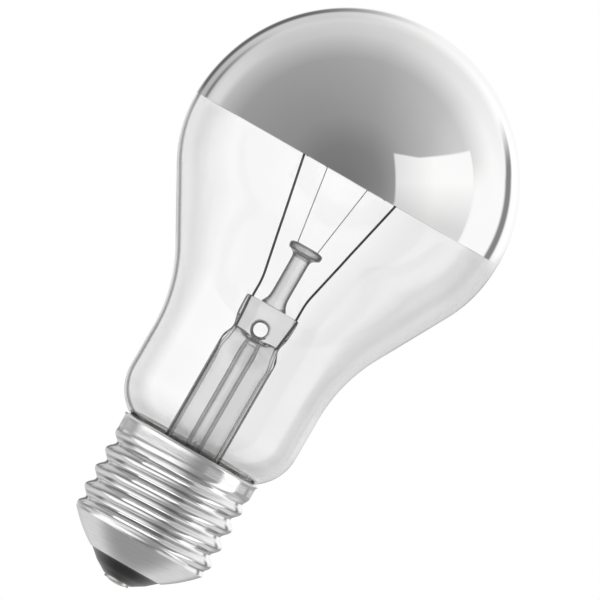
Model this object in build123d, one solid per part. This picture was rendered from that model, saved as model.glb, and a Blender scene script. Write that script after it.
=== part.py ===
from build123d import *
import os
from math import acos, asin, ceil, cos, degrees, pi, radians, sin, sqrt, tan

# Silver crown bulb: a clear pear-shaped glass with a mirrored dome, a pinched glass stem
# that carries the filament, and a screw cap of rolled sheet. Millimetres and degrees.
# The origin is the tip of the centre contact, +Z runs up the axis to the crown, and the
# flat sides of the stem's press face -Y and +Y.

# Glass bulb
bulb_diameter = 61.0
neck_length = 7.85  # straight part of the neck; it sets the length of the whole bulb
shoulder_radius = 24.6  # arc just below the widest point
taper_angle = 29.0  # half angle of the cone between shoulder and neck
waist_radius = 29.3  # hollow arc from the cone into the neck
neck_diameter = 33.4
gather_radius = 9.0  # rounding from the neck in to the cap
throat_height = 1.4  # taper from that rounding into the seal tube
throat_step = 0.9
glass_wall = 0.6

# Mirror coat on the dome
mirror_rim_height = 0.5  # rim above the widest point
mirror_coat = 0.1

# Cap shell, rolled from sheet with a right-hand round thread
cap_height = 27.2
sheet = 0.25
thread_diameter = 26.05  # over the crests
thread_depth = 1.2
thread_pitch = 3.629
thread_lead_in = 2.2  # from the funnel up to the first crest on +X
thread_fade_in = 1.7
thread_fade_out = 2.9
thread_steps = 6  # level cuts for each turn
skirt_diameter = 25.9
skirt_height = 1.7  # plain band above the thread
lip_height = 0.6
lip_flare = 0.4
funnel_top_diameter = 25.0
funnel_bottom_diameter = 14.0
funnel_height = 4.65
funnel_radius = 26.6

# Cap insulator and centre contact
nose_height = 3.2  # insulator below the funnel
nose_rim = 0.05  # insulator's edge past the sheet
insulator_depth = 4.0  # insulator inside the funnel
insulator_hole = 1.6
plate_diameter = 4.8
plate_thickness = 0.5
plate_hole = 1.2
plate_chamfer = 0.15
bead_diameter = 3.6
bead_height = 0.35
bead_flat = 2.2

# Clearances between the glass and the cap, and the cement that fills them
seal_gap = 0.8  # glass tube to the sheet at the thread's root
rim_gap = 0.2  # glass to the skirt's inside at the rim
cement_height = 4.9

# Glass stem
stem_diameter = 11.0
stem_wall = 0.8
flare_drop = 1.5  # start of the flare below the cap's rim
tube_height = 19.5  # start of the pinch above the cap's rim
waist_rise = 2.6  # narrowest place above the start of the pinch
waist_width = 9.0
waist_thickness = 5.6
waist_corner = 2.3
press_rise = 5.1  # full press above the start of the pinch
press_height = 4.3
press_margin = 0.6  # glass outside each seal wire
press_lip = 0.15  # glass outside the rod's foot
press_corner = 1.1
slot_thickness = 0.9  # closed end of the flare's bore
slot_margin = 0.3  # slot past the lead wires
slot_rise = 2.9
eye_diameter = 3.0  # hole through the press
eye_web = 0.4  # glass between the slot and that hole
exhaust_diameter = 3.2
exhaust_wall = 0.6
exhaust_overlap = 0.3  # exhaust tube past the lower edge of the hole
exhaust_tip_drop = 10.2  # sealed tip below the cap's rim
exhaust_taper = 2.4
exhaust_tip_diameter = 0.9

# Glass rod with its button
rod_diameter = 3.4
rod_height = 10.5
foot_width = 5.0
foot_height = 1.6
button_diameter = 6.5
button_height = 1.65
button_chamfer = 0.6

# Wires
lead_diameter = 0.4
outer_lead_diameter = 0.3
support_diameter = 0.18
lead_gap = 0.25  # outer lead to the flare's bore
seal_lean = 0.7  # seal wires lean out through the press
lead_straight = 3.0
lead_dip = 5.0  # shell lead below the edge of the glass
lead_exit = 2.4  # its slanted end below the cap's rim
lead_play = 0.05  # between that end and the lip
support_inset = 1.4  # support wire to the button's edge
support_back = 0.6
support_depth = 1.2

# Filament
filament_rise = 6.5  # above the mirror's rim
filament_span = 22.6
filament_offset = 0.6  # coil hung a little to the right
filament_bow = 3.8
filament_diameter = 0.8
clamp_wall = 0.25
clamp_length = 1.6
hook_reach = 4.9  # support hooks from the middle
hook_gap = 0.16
hook_tail = 0.5

# Solder of the shell lead at the cap's rim
side_bead_diameter = 2.4
side_bead_top = 1.2
side_bead_height = 0.9  # out from the lip
side_bead_rise = 0.15  # its middle above the rim

# Places worked out from the sizes above
crown_radius = bulb_diameter / 2
neck_radius = neck_diameter / 2

plate_z = bead_height
nose_z = plate_z + plate_thickness
funnel_z = nose_z + nose_height
thread_z = funnel_z + funnel_height
lip_z = cap_height - lip_height
skirt_z = lip_z - skirt_height
thread_run = skirt_z - thread_z
thread_throw = thread_depth / 2
thread_mean = thread_diameter / 2 - thread_throw
shell_bore = thread_diameter / 2 - thread_depth - sheet
skirt_radius = skirt_diameter / 2
funnel_top = funnel_top_diameter / 2
funnel_bottom = funnel_bottom_diameter / 2

seal_radius = shell_bore - seal_gap
rim_radius = skirt_radius - sheet - rim_gap
gather_centre = neck_radius - gather_radius
gather_z = cap_height + sqrt(gather_radius**2 - (rim_radius - gather_centre) ** 2)
gather_angle = degrees(acos((seal_radius + throat_step - gather_centre) / gather_radius))
throat_z = gather_z - gather_radius * sin(radians(gather_angle)) - throat_height
shoulder_centre = crown_radius - shoulder_radius
waist_centre = neck_radius + waist_radius
waist_z = gather_z + neck_length
cone_top = shoulder_centre + shoulder_radius * cos(radians(taper_angle))
cone_bottom = waist_centre - waist_radius * cos(radians(taper_angle))
cone_height = (cone_top - cone_bottom) / tan(radians(taper_angle))
widest_z = waist_z + (waist_radius + shoulder_radius) * sin(radians(taper_angle)) + cone_height
mirror_rim_z = widest_z + mirror_rim_height

stem_radius = stem_diameter / 2
bore_radius = stem_radius - stem_wall
flare_edge = seal_radius - glass_wall
flare_z = cap_height - flare_drop
flare_radius = flare_edge - stem_radius
seal_z = flare_z - flare_radius - stem_wall
pinch_z = cap_height + tube_height
press_z = pinch_z + press_rise
press_top = press_z + press_height
slot_z = pinch_z + slot_rise
eye_z = slot_z + eye_web + eye_diameter / 2
exhaust_tip_z = cap_height - exhaust_tip_drop

lead_radius = lead_diameter / 2
outer_radius = outer_lead_diameter / 2
tube_lead_x = bore_radius - lead_gap - outer_radius
slot_lead_x = waist_width / 2 - stem_wall
press_lead_x = slot_lead_x + seal_lean
press_half = press_lead_x + lead_radius + press_margin
press_thickness = rod_diameter + 2 * press_lip

rod_top = press_top + rod_height
button_top = rod_top + button_height
filament_z = mirror_rim_z + filament_rise
filament_radius = filament_diameter / 2


def revolved(edges):
    """Solid of revolution about Z from edges drawn as radius and height."""
    return revolve(Plane.XZ * make_face(edges), Axis.Z)


def disc(radius, low, high):
    """Plain cylinder on the axis between two heights."""
    return Pos(0, 0, low) * Cylinder(radius, high - low, align=(Align.CENTER, Align.CENTER, Align.MIN))


def run(points, section):
    """Section drawn along straight runs that meet in sharp kinks."""
    path = Polyline(*points)
    return sweep(Plane(origin=path @ 0, z_dir=path % 0) * section, path=path, transition=Transition.RIGHT)


def wire(points, diameter):
    """Thin kinked wire."""
    return run(points, Circle(diameter / 2))


def dome(radius):
    """Arc of the crown from the mirror's rim up to the top."""
    rim = degrees(asin(mirror_rim_height / radius))
    return CenterArc((0, widest_z), radius, rim, 90 - rim)


def bulb_body(inset):
    """Filled bulb inside the glass surface, inset by a wall, down to the sealed edge."""
    crown = dome(crown_radius - inset)
    widest = RadiusArc((crown_radius - inset, widest_z), crown @ 0, inset - crown_radius)
    shoulder = CenterArc((shoulder_centre, widest_z), shoulder_radius - inset, 0, -taper_angle)
    waist = CenterArc((waist_centre, waist_z), waist_radius + inset, 180 - taper_angle, taper_angle)
    gather = CenterArc((gather_centre, gather_z), gather_radius - inset, 0, -gather_angle)
    side = seal_radius - inset
    edges = [crown, widest, shoulder, Line(shoulder @ 1, waist @ 0), waist]
    edges += [Line(waist @ 1, gather @ 0), gather]
    edges += [Polyline(gather @ 1, (side, throat_z), (side, seal_z), (0, seal_z), crown @ 1)]
    return revolved(edges)


def glass_envelope():
    return bulb_body(0) - bulb_body(glass_wall)


def crown_mirror():
    """Thin coat on the outside of the dome, cut level at its rim."""
    inside = dome(crown_radius)
    outside = dome(crown_radius + mirror_coat)
    return revolved([inside, outside, Line(inside @ 0, outside @ 0), Line(inside @ 1, outside @ 1)])


def smooth(share):
    """Eased step from 0 to 1."""
    share = min(max(share, 0.0), 1.0)
    return share * share * (3 - 2 * share)


def thread_core():
    """Round thread: each level cut is a circle whose centre turns about the axis as it rises."""
    count = ceil(thread_steps * thread_run / thread_pitch)
    cuts = []
    for step in range(count + 1):
        rise = thread_run * step / count
        begun = smooth(rise / thread_fade_in)
        left = smooth((thread_run - rise) / thread_fade_out)
        radius = thread_mean + (funnel_top - thread_mean) * (1 - begun)
        radius += (skirt_radius - thread_mean) * (1 - left)
        throw = thread_throw * begun * left
        turn = 2 * pi * (rise - thread_lead_in) / thread_pitch
        cuts.append(Pos(throw * cos(turn), throw * sin(turn), thread_z + rise) * Circle(radius))
    return loft(cuts)


def funnel_core(bottom, top):
    """Bulged funnel under the thread, by its radii."""
    side = RadiusArc((bottom, funnel_z), (top, thread_z), -funnel_radius)
    return revolved([side, Polyline((top, thread_z), (0, thread_z), (0, funnel_z), (bottom, funnel_z))])


def skirt_core(inset):
    """Plain band with the flared lip."""
    side = skirt_radius - inset
    points = [(0, skirt_z), (side, skirt_z), (side, lip_z), (side + lip_flare, cap_height), (0, cap_height)]
    return revolved([Polyline(*points, close=True)])


def funnel_space():
    return funnel_core(funnel_bottom - sheet, shell_bore)


def cap_shell():
    """Sheet shell: funnel, thread, plain skirt and lip, open at both ends."""
    outside = funnel_core(funnel_bottom, funnel_top) + thread_core() + skirt_core(0)
    return outside - funnel_space() - disc(shell_bore, thread_z, skirt_z) - skirt_core(sheet)


def cap_insulator():
    """Black glass that fills the funnel and carries the contact on its nose."""
    inside = funnel_space() & disc(funnel_top, funnel_z, funnel_z + insulator_depth)
    rim = funnel_bottom + nose_rim
    points = [(0, nose_z), (plate_diameter / 2, nose_z), (rim, funnel_z), (0, funnel_z)]
    return inside + revolved([Polyline(*points, close=True)]) - disc(insulator_hole / 2, 0, cap_height)


def contact_plate():
    plate = disc(plate_diameter / 2, plate_z, nose_z)
    plate = chamfer(plate.edges().sort_by(Axis.Z)[0], plate_chamfer)
    return plate - disc(plate_hole / 2, 0, cap_height)


def contact_solder():
    """Bead under the plate, with its shank up through the plate's hole."""
    shank = plate_hole / 2
    points = [(0, 0), (bead_flat / 2, 0), (bead_diameter / 2, plate_z), (shank, plate_z)]
    return revolved([Polyline(*points, (shank, nose_z), (0, nose_z), close=True)])


def stem_body():
    """Tube with a flare at its foot, pinched flat at its top, filled."""
    rim_z = flare_z - flare_radius
    points = [(stem_radius, flare_z), (flare_edge, rim_z), (flare_edge, seal_z)]
    points += [(0, seal_z), (0, pinch_z), (stem_radius, pinch_z)]
    tube = Pos(0, 0, pinch_z) * Circle(stem_radius)
    narrow = Pos(0, 0, pinch_z + waist_rise) * RectangleRounded(waist_width, waist_thickness, waist_corner)
    flat = Pos(0, 0, press_z) * RectangleRounded(2 * press_half, press_thickness, press_corner)
    body = revolved([Polyline(*points, close=True)])
    return body + loft([tube, narrow, flat]) + extrude(flat, press_height)


def stem_bore():
    """Air space inside the flare, closed to a thin slot under the press."""
    points = [(bore_radius, flare_z), (flare_edge, seal_z), (0, seal_z), (0, pinch_z), (bore_radius, pinch_z)]
    slot_half = slot_lead_x + outer_radius + slot_margin
    slot = Pos(0, 0, slot_z) * Ellipse(slot_half, slot_thickness / 2)
    mouth = Pos(0, 0, pinch_z) * Circle(bore_radius)
    return revolved([Polyline(*points, close=True)]) + loft([mouth, slot], ruled=True)


def press_eye():
    """Round hole through the press, along Y."""
    return Pos(0, 0, eye_z) * Rot(90, 0, 0) * Cylinder(eye_diameter / 2, 2 * stem_diameter)


def exhaust_body():
    """Exhaust tube with its sealed tip, filled."""
    side = exhaust_diameter / 2
    top_z = eye_z - eye_diameter / 2 + exhaust_overlap
    points = [(0, exhaust_tip_z), (exhaust_tip_diameter / 2, exhaust_tip_z)]
    points += [(side, exhaust_tip_z + exhaust_taper), (side, top_z), (0, top_z)]
    return revolved([Polyline(*points, close=True)])


def exhaust_tube():
    bore = disc(exhaust_diameter / 2 - exhaust_wall, exhaust_tip_z + exhaust_taper, eye_z)
    return exhaust_body() - bore - press_eye()


def stem_flare(seals):
    return stem_body() - stem_bore() - press_eye() - exhaust_body() - seals


def glass_rod(supports):
    """Rod on the press, with a spread foot and a rounded button on top."""
    rod = disc(rod_diameter / 2, press_top + foot_height, rod_top)
    foot_cuts = [Ellipse(foot_width / 2, press_thickness / 2), Circle(rod_diameter / 2)]
    foot = loft([Pos(0, 0, press_top) * foot_cuts[0], Pos(0, 0, press_top + foot_height) * foot_cuts[1]])
    button = disc(button_diameter / 2, rod_top, button_top)
    button = chamfer(button.edges(), min(button_chamfer, 0.45 * button_height))
    return rod + foot + button - supports


def hook_point(side):
    """Middle of a support's hook, behind the leads."""
    return Vector(side * hook_reach, filament_bow, filament_z)


def lead_point(side):
    """End of the filament at the top of a lead."""
    return Vector(filament_offset + side * filament_span / 2, 0, filament_z)


def filament():
    """Coil drawn as a plain round bar, in straight runs from lead to hook to hook to lead."""
    return run([lead_point(-1), hook_point(-1), hook_point(1), lead_point(1)], Circle(filament_radius))


def inner_lead(side, coil):
    """Lead from the press to the filament, its flat end folded into a clamp round the filament."""
    along = (hook_point(side) - lead_point(side)).normalized()
    middle = lead_point(side) + along * clamp_length / 2
    clamp_side = filament_diameter + 2 * clamp_wall
    clamp = Plane(origin=middle, z_dir=along) * Box(clamp_side, clamp_side, clamp_length)
    foot = Vector(side * press_lead_x, 0, press_top)
    bend = foot + Vector(0, 0, lead_straight)
    return wire([foot, bend, middle], lead_diameter) + clamp - coil


def seal_wire(side):
    """Piece of a lead that is fused into the press, cut level at both ends."""
    slope = seal_lean / (press_top - slot_z)
    low = (side * (slot_lead_x - slope * stem_wall), 0, slot_z - stem_wall)
    high = (side * (press_lead_x + slope * stem_wall), 0, press_top + stem_wall)
    return wire([low, high], lead_diameter) & disc(stem_diameter, slot_z, press_top)


def support_wire(side):
    """Thin wire from the button up in front of the filament, hooked back over it."""
    reach = filament_radius + hook_gap + support_diameter / 2
    foot = Vector(side * (button_diameter / 2 - support_inset), support_back, button_top - support_depth)
    front = hook_point(side) - Vector(0, reach, 0)
    over = Vector(0, 0, reach)
    tail = Vector(0, reach + hook_tail, 0)
    return wire([foot, front - over, front + over, front + over + tail], support_diameter)


def contact_lead():
    """Outer wire down the left of the flare, then along the axis to the centre contact."""
    points = [(-slot_lead_x, 0, slot_z), (-slot_lead_x, 0, pinch_z)]
    points += [(-tube_lead_x, 0, flare_z - flare_radius), (0, 0, thread_z + lead_straight), (0, 0, nose_z)]
    return wire(points, outer_lead_diameter)


def shell_lead():
    """Outer wire down the right of the flare, under the glass edge and up to the cap's rim."""
    under_z = seal_z - lead_dip
    way_up = seal_radius + seal_gap / 2
    lip_side = skirt_radius - sheet + lip_flare - lead_play - outer_radius
    lean = (lip_side - way_up) / lead_exit
    points = [(slot_lead_x, 0, slot_z), (slot_lead_x, 0, pinch_z), (tube_lead_x, 0, flare_z)]
    points += [(tube_lead_x / 2, way_up / 2, under_z), (0, way_up, under_z)]
    points += [(0, way_up, cap_height - lead_exit)]
    points += [(0, lip_side + lean * lip_height, cap_height + lip_height)]
    above_rim = disc(neck_radius, cap_height, gather_z) - disc(seal_radius, cap_height, gather_z)
    return wire(points, outer_lead_diameter) - above_rim


def cap_cement(lead):
    """Cement between the glass and the cap up to the lip, stepped in below the skirt."""
    ring = disc(skirt_radius - sheet, skirt_z, lip_z) + disc(shell_bore, lip_z - cement_height, skirt_z)
    return ring - bulb_body(0) - lead


def side_solder():
    """Bead that joins the end of the shell lead to the lip."""
    inner = skirt_radius - sheet
    outer = skirt_radius + lip_flare + side_bead_height
    bead = Cone(side_bead_diameter / 2, side_bead_top / 2, outer - inner)
    place = Plane(origin=(0, (inner + outer) / 2, cap_height + side_bead_rise), z_dir=(0, 1, 0))
    return place * bead - skirt_core(0) - bulb_body(0)


os.makedirs("parts", exist_ok=True)

outer_contact = contact_lead()
outer_shell = shell_lead()
coil = filament()
seals = {"left": seal_wire(-1), "right": seal_wire(1)}
supports = {"left": support_wire(-1), "right": support_wire(1)}

nodes = {
    "glass_envelope": glass_envelope(),
    "crown_mirror": crown_mirror(),
    "stem_flare": stem_flare(seals["left"] + seals["right"]),
    "exhaust_tube": exhaust_tube(),
    "glass_rod": glass_rod(supports["left"] + supports["right"]),
    "left_inner_lead": inner_lead(-1, coil),
    "right_inner_lead": inner_lead(1, coil),
    "left_seal_wire": seals["left"],
    "right_seal_wire": seals["right"],
    "contact_lead": outer_contact,
    "shell_lead": outer_shell,
    "left_support_wire": supports["left"],
    "right_support_wire": supports["right"],
    "filament": coil,
    "cap_shell": cap_shell(),
    "cap_insulator": cap_insulator(),
    "contact_plate": contact_plate(),
    "contact_solder": contact_solder(),
    "side_solder": side_solder(),
    "cap_cement": cap_cement(outer_shell),
}

for name, solid in nodes.items():
    export_step(solid, "parts/" + name + ".step")
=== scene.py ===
from math import acos, asin, atan2, cos, pi, radians, sin, sqrt, tan

import bpy
from mathutils import Matrix, Vector


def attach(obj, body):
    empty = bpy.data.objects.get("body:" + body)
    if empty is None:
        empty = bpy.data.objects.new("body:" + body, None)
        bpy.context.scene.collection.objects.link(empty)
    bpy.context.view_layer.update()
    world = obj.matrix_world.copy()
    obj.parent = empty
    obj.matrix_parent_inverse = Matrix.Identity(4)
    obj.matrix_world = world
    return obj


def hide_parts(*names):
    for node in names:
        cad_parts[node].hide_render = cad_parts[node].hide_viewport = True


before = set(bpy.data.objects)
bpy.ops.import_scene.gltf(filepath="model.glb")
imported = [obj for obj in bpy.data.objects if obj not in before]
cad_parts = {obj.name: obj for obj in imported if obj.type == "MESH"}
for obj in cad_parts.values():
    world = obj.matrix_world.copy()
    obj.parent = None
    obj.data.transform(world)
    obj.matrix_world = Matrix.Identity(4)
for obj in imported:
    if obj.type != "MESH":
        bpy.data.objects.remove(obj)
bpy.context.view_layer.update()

# Silver crown bulb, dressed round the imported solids. Lengths are millimetres and are turned into
# metres where a mesh, a lamp or a node is made. The camera looks along +Y.
MM = 0.001

# Glass bulb
bulb_diameter = 61.0
neck_length = 7.85
shoulder_radius = 24.6
taper_angle = radians(29.0)
waist_radius = 29.3
neck_diameter = 33.4
gather_radius = 9.0
throat_height = 1.4
throat_step = 0.9
glass_wall = 0.6
mirror_rim_height = 0.5
mirror_coat = 0.1
mirror_gap = 0.02  # air between the coat and the glass, so that their faces stay apart

# Cap shell
cap_height = 27.2
cap_sides = 144
sheet = 0.25
thread_diameter = 26.05
thread_depth = 1.2
thread_pitch = 3.629
thread_lead_in = 2.2
thread_fade_in = 1.7
thread_fade_out = 2.9
rings_per_turn = 24
skirt_diameter = 25.9
skirt_height = 1.7
skirt_rings = 3
lip_height = 0.6
lip_flare = 0.4
lip_rings = 4
funnel_top_diameter = 25.0
funnel_bottom_diameter = 14.0
funnel_height = 4.65
funnel_radius = 26.6
funnel_rings = 14
seal_gap = 0.8
rim_gap = 0.2

# Insulator, centre contact and solder
nose_height = 3.2
nose_rim = 0.05  # insulator's edge past the sheet
nose_margin = 0.3  # flat round the plate
nose_knee_radius = 4.9
nose_knee_rise = 1.35
# Rounded edge of the nose: in from its rim, down from the sheet, steps
nose_edge = [(0.42, 0.32, 4), (0.12, 0.2, 1), (0.0, 0.08, 1), (0.05, 0.0, 1)]
collar_play = 0.1
collar_lip = 0.05
collar_flare = 0.6
collar_height = 1.0
lead_hole = 0.6
plate_diameter = 4.8
plate_thickness = 0.5
plate_round = 0.15
bead_diameter = 3.6
bead_height = 0.35
bead_thickness = 0.8
bead_middle = 0.44
side_bead_width = 2.4
side_bead_depth = 1.5
side_bead_height = 2.1
side_bead_out = 0.45  # its middle out from the skirt
side_bead_drop = 0.3
solder_unevenness = 0.04

# Stem
stem_diameter = 11.0
stem_wall = 0.8
flare_drop = 1.5
foot_play = 0.05  # between the flare's foot and the neck
foot_lift = 0.1
tube_height = 19.5
press_rise = 5.1
press_height = 4.3
press_half_depth = 2.1
press_flat_rise = 1.5  # the glass is pressed flat from this height above the pinch
press_core = 1.3  # half depth inside which the press holds only the wall of its eye
slot_rise = 2.9
roof_drop = 0.35  # roof of the bore below the top of the slot
roof_lift = 0.9  # its two ends, drawn up along the leads
roof_sag = 0.15  # its middle
roof_half_depth = 1.7
roof_end_x = 2.4
roof_middle_x = 1.3
eye_diameter = 3.0
eye_web = 0.4
eye_faces = (1.9, 1.4)  # half width and half height of the faces that are cut out
eye_points = (2.1, 1.55)  # and of the points round them
eye_mouth = 0.98  # share of the mouths' width that is kept
eye_waist = 0.68  # share that is left half way through
eye_reach = 0.6  # points of its wall lie this close round it
exhaust_diameter = 3.2
exhaust_wall = 0.6
exhaust_tip_drop = 10.2
exhaust_top_gap = 0.6
exhaust_round = 0.1
rod_diameter = 3.4
rod_height = 10.5
rod_gap = 0.02  # between the rod's foot and the press
button_diameter = 6.5
button_height = 1.65

# Wires
lead_diameter = 0.45
lead_straight = 3.5
lead_bend = 1.2
lead_sink = 0.05  # foot of the leads below the top of the press
lead_end_in = 0.1  # end of the leads in from the middle of the clamp, and below it
lead_end_drop = 0.55
lead_dip = 5.0
lead_exit = 2.4
lead_kink_drop = 1.5
outer_lead_diameter = 0.3
contact_lead_bend = 1.0
shell_lead_bend = 0.8
rim_end_in = 0.05  # end of the shell lead in from the skirt, and below the cap's rim
rim_end_drop = 0.1
slot_lead_x = 3.7
press_lead_x = 4.4
press_offset = 0.2  # the leads stand a little to the right where they leave the press
tube_lead_x = 4.5
support_diameter = 0.18
support_inset = 1.4
support_back = 0.6
support_depth = 1.2
support_bend = 0.3
hook_reach = 4.9
hook_gap = 0.16
hook_tail = 0.5
filament_rise = 6.5
filament_span = 22.6
filament_offset = 0.6
filament_bow = 3.8
filament_diameter = 0.8
coil_pitch = 0.34
coil_wire_radius = 0.075
coil_steps = 18
clamp_length = 1.6
clamp_wall = 0.25

# Heights and radii that follow from the sizes
crown_radius = bulb_diameter / 2
neck_radius = neck_diameter / 2
plate_z = bead_height
nose_z = plate_z + plate_thickness
funnel_z = nose_z + nose_height
thread_z = funnel_z + funnel_height
lip_z = cap_height - lip_height
skirt_z = lip_z - skirt_height
thread_run = skirt_z - thread_z
thread_throw = thread_depth / 2
thread_mean = thread_diameter / 2 - thread_throw
skirt_radius = skirt_diameter / 2
seal_radius = thread_diameter / 2 - thread_depth - sheet - seal_gap
rim_radius = skirt_radius - sheet - rim_gap
gather_centre = neck_radius - gather_radius
gather_z = cap_height + sqrt(gather_radius**2 - (rim_radius - gather_centre) ** 2)
gather_angle = acos((seal_radius + throat_step - gather_centre) / gather_radius)
throat_z = gather_z - gather_radius * sin(gather_angle) - throat_height
shoulder_centre = crown_radius - shoulder_radius
waist_centre = neck_radius + waist_radius
waist_z = gather_z + neck_length
cone_top = shoulder_centre + shoulder_radius * cos(taper_angle)
cone_bottom = waist_centre - waist_radius * cos(taper_angle)
cone_height = (cone_top - cone_bottom) / tan(taper_angle)
widest_z = waist_z + (waist_radius + shoulder_radius) * sin(taper_angle) + cone_height
bulb_height = widest_z + crown_radius
stem_radius = stem_diameter / 2
bore_radius = stem_radius - stem_wall
flare_edge = seal_radius - glass_wall
flare_z = cap_height - flare_drop
flare_rim_z = flare_z - (flare_edge - stem_radius)
seal_z = flare_rim_z - stem_wall
foot_z = seal_z + foot_lift
foot_edge = flare_edge - foot_play
pinch_z = cap_height + tube_height
press_top = pinch_z + press_rise + press_height
slot_z = pinch_z + slot_rise
roof_z = slot_z - roof_drop
eye_z = slot_z + eye_web + eye_diameter / 2
rod_radius = rod_diameter / 2
rod_top = press_top + rod_height
button_top = rod_top + button_height
filament_z = widest_z + mirror_rim_height + filament_rise

# Rings of the drawn glass: half width, half depth and rise from a height of the stem
flare_rings = [(foot_edge, foot_edge, 0.0), (foot_edge, foot_edge, 0.6), (8.5, 8.5, 2.0), (6.8, 6.8, 3.6)]
flare_end_rings = [(5.8, 5.8, -0.7), (stem_radius, stem_radius, 0.0), (stem_radius, stem_radius, 1.0)]
pinch_rings = [
    (5.5, 5.5, -2.7), (5.5, 5.3, -1.9), (5.5, 4.7, -1.0), (5.5, 3.85, -0.1), (5.45, 2.95, 0.8),
    (5.2, 2.75, 1.6), (4.75, 2.7, 2.4)]
press_rings = [(4.55, 2.65, -1.5), (4.8, 2.6, -0.5), (5.1, 2.6, 0.5), (5.2, 2.6, 1.5)]
press_end_rings = [(5.25, 2.6, -1.5), (5.25, 2.6, -0.7), (5.2, 2.55, -0.15), (5.05, 2.45, 0.0)]
bore_foot_rings = [
    (foot_edge - 0.7, foot_edge - 0.7, 0.0), (foot_edge - 0.8, foot_edge - 0.8, 0.8),
    (7.3, 7.3, 2.3), (5.7, 5.7, 4.0)]
bore_end_rings = [(4.9, 4.9, -0.3), (bore_radius, bore_radius, 0.5), (bore_radius, bore_radius, 1.8)]
bore_pinch_rings = [
    (4.7, 4.7, -3.3), (4.7, 4.5, -2.4), (4.7, 3.9, -1.5), (4.7, 3.05, -0.6), (4.6, 2.25, 0.3),
    (4.45, 1.8, 1.1), (4.35, 1.72, 1.8)]
roof_ring = (4.25, roof_half_depth, 0.0)
tube_ring_rises = (3.8, 8.8, 14.8)  # plain rings of the tube above the cap's rim
rod_foot_rings = [
    (2.5, 1.85, 0.0), (2.42, 1.82, 0.25), (2.0, 1.74, 0.9), (1.72, rod_radius, 1.7),
    (rod_radius, rod_radius, 2.6)]
rod_end_rings = [(rod_radius, rod_radius, -1.4), (1.75, 1.75, -0.5), (2.4, 2.4, -0.05)]
# Rings of the button: in from its edge, up from the rod
button_rings = [(0.15, 0.15), (0.0, 0.7), (0.0, 1.2), (0.25, button_height - 0.22), (1.0, button_height)]


# Drawing with the modelling tools

weld = 0.002  # points closer than this become one
close_by = 0.05  # points closer than this to a ring or a kink belong to it
end_inset = 0.35  # inset of a tube's closed end, as a share of its smaller half width
ring_inset = 0.5


def to_object():
    if bpy.context.mode != "OBJECT":
        bpy.ops.object.mode_set(mode="OBJECT")


def to_edit():
    bpy.ops.object.mode_set(mode="EDIT")


def select_all():
    bpy.ops.mesh.select_all(action="SELECT")


def fresh():
    """Nothing selected, and points picked as points, ready for a new piece."""
    to_object()
    bpy.ops.object.select_all(action="DESELECT")
    bpy.context.tool_settings.mesh_select_mode = (True, False, False)


def take(piece):
    """Make one piece the selected and active one, in object mode."""
    to_object()
    bpy.ops.object.select_all(action="DESELECT")
    piece.select_set(True)
    bpy.context.view_layer.objects.active = piece


def pick(name):
    """Finish naming the piece that is being made and hand it over in object mode."""
    to_object()
    piece = bpy.context.object
    piece.name = name
    piece.data.name = name
    return piece


def start_point(point):
    """New mesh of a single point, in edit mode."""
    fresh()
    bpy.ops.mesh.primitive_plane_add(size=MM)
    to_edit()
    bpy.ops.mesh.merge(type="CENTER")
    bpy.ops.transform.translate(value=Vector(point) * MM)


def faces_outwards():
    select_all()
    bpy.ops.mesh.normals_make_consistent(inside=False)


class Outline:
    """Half outline of a turned piece, drawn from point to point in the plane y = 0."""

    def __init__(self, radius, height):
        start_point((radius, 0, height))
        self.radius, self.height = radius, height

    def line(self, radius, height, steps=1):
        """Straight run to a radius and height."""
        step = ((radius - self.radius) * MM / steps, 0, (height - self.height) * MM / steps)
        for _ in range(steps):
            bpy.ops.mesh.extrude_vertices_move(TRANSFORM_OT_translate={"value": step})
        self.radius, self.height = radius, height
        return self

    def arc(self, centre, centre_height, turn, steps):
        """Arc about a centre, clockwise as seen with the axis upright on the left."""
        middle = (centre * MM, 0, centre_height * MM)
        bpy.ops.mesh.spin(steps=steps, angle=-turn, center=middle, axis=(0, 1, 0), dupli=False)
        across, rise = self.radius - centre, self.height - centre_height
        self.radius = centre + across * cos(turn) + rise * sin(turn)
        self.height = centre_height - across * sin(turn) + rise * cos(turn)
        return self

    def close(self):
        """Join the points that lie in one place."""
        select_all()
        bpy.ops.mesh.remove_doubles(threshold=weld * MM)
        return self

    def turned(self, name, steps):
        """Spin the outline about the axis into a skin with its faces outwards."""
        select_all()
        bpy.ops.mesh.spin(steps=steps, angle=2 * pi, center=(0, 0, 0), axis=(0, 0, 1), dupli=False)
        self.close()
        faces_outwards()
        return pick(name)


def apply_modifier(piece, kind, **settings):
    take(piece)
    bpy.ops.object.modifier_add(type=kind)
    modifier = piece.modifiers[-1]
    for key, value in settings.items():
        setattr(modifier, key, value)
    bpy.ops.object.modifier_apply(modifier=modifier.name)


def walled(piece, wall):
    """Give a skin a wall on its inner side."""
    apply_modifier(piece, "SOLIDIFY", thickness=wall * MM, offset=-1.0, use_even_offset=True)
    return piece


def smooth_skin(piece, angle=40):
    take(piece)
    bpy.ops.object.shade_smooth_by_angle(angle=radians(angle))
    return piece


def select_where(kind, test):
    """Select the vertices, edges or polygons in hand whose middle, in millimetres, passes a test."""
    to_object()
    mesh = bpy.context.object.data
    for group in (mesh.vertices, mesh.edges, mesh.polygons):
        for part in group:
            part.select = False
    for part in getattr(mesh, kind):
        if kind == "edges":
            middle = (mesh.vertices[part.vertices[0]].co + mesh.vertices[part.vertices[1]].co) / 2
        else:
            middle = part.co if kind == "vertices" else part.center
        part.select = test(middle / MM)
    to_edit()
    bpy.ops.mesh.select_mode(type={"vertices": "VERT", "edges": "EDGE", "polygons": "FACE"}[kind])


def eased(share):
    share = min(max(share, 0.0), 1.0)
    return share * share * (3 - 2 * share)


# Glass bulb and its mirror

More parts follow.
